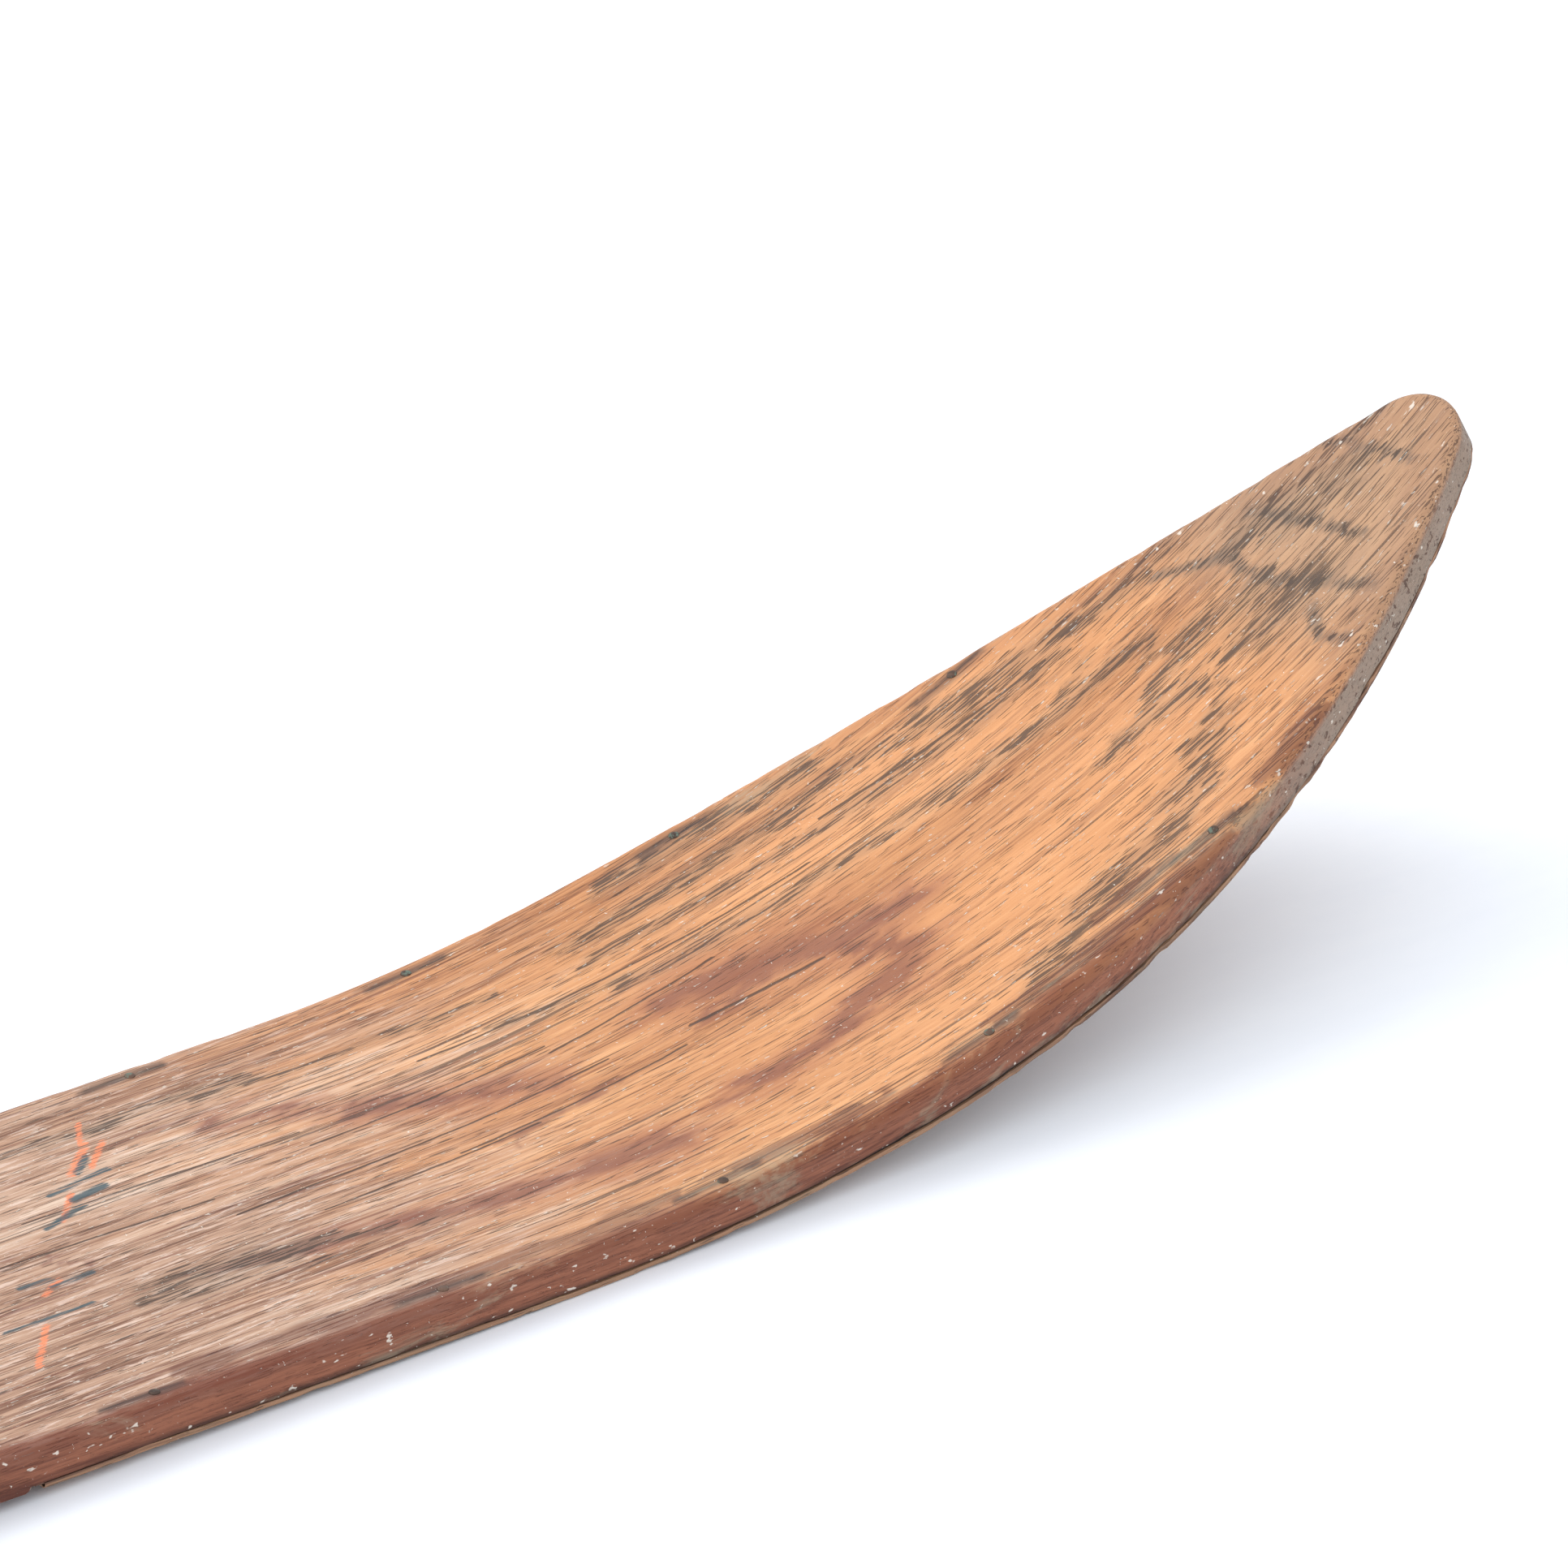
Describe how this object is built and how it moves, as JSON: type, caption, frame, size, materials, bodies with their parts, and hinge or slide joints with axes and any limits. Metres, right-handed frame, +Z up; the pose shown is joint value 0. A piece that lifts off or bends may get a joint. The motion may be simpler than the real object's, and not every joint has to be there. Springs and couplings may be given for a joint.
{
  "type": "wooden water ski",
  "caption": "Long narrow bent-wood board with an upturned rounded tip, a shallow fin under its tail, a rubber toe arch and a sliding rubber heel cup held by wing nuts.",
  "frame": {"origin": "middle of the ski's length and width, at the level of the fin's foot", "axes": "+X forward towards the upturned tip, +Y to the left, +Z up from the sole to the deck"},
  "size_m": [1.6917, 0.16, 0.1538],
  "materials": {
    "ash": "old varnish, worn through to greyed grain",
    "sole_layer": "bare, greyed",
    "glue": "dark hardened glue",
    "copper": "dull copper with a green rim",
    "brass": "dull",
    "mat_rubber": "ribbed, dusty",
    "binding_rubber": "dark red moulded rubber, bloomed with age",
    "aluminium": "brushed, oxidised",
    "steel": "plated, dull"
  },
  "bodies": {
    "ski": {"board": "ash", "keel": "ash", "tip_veneer": "sole_layer", "kerf_glue": "glue", "pins_left": "copper", "pins_right": "copper", "keel_screws": "brass", "foot_mat": "mat_rubber", "toe_rubber": "binding_rubber", "toe_clamp_left": "aluminium", "toe_screws_left": "steel", "rail_left": "aluminium", "rail_screws_left": "steel", "toe_clamp_right": "aluminium", "toe_screws_right": "steel", "rail_right": "aluminium", "rail_screws_right": "steel"},
    "heel_slide": {"heel_plate": "aluminium", "clamp_bolts": "steel", "washers": "steel", "heel_rubber": "binding_rubber", "heel_ring": "aluminium", "heel_rivets": "aluminium", "heel_pad": "mat_rubber"},
    "wing_nut_left_body": {"wing_nut_left": "steel"},
    "wing_nut_right_body": {"wing_nut_right": "steel"}
  },
  "joints": [
    {"name": "heel_slide_joint", "type": "slide", "parent": "ski", "child": "heel_slide", "axis": [1, 0, 0], "range_m": [-0.025, 0.025]},
    {"name": "wing_nut_left_turn", "type": "hinge", "parent": "heel_slide", "child": "wing_nut_left_body", "pos_m": [-0.436, 0.064, 0.042], "axis": [0, 0, 1], "continuous": true},
    {"name": "wing_nut_right_turn", "type": "hinge", "parent": "heel_slide", "child": "wing_nut_right_body", "pos_m": [-0.436, -0.064, 0.042], "axis": [0, 0, 1], "continuous": true}
  ]
}
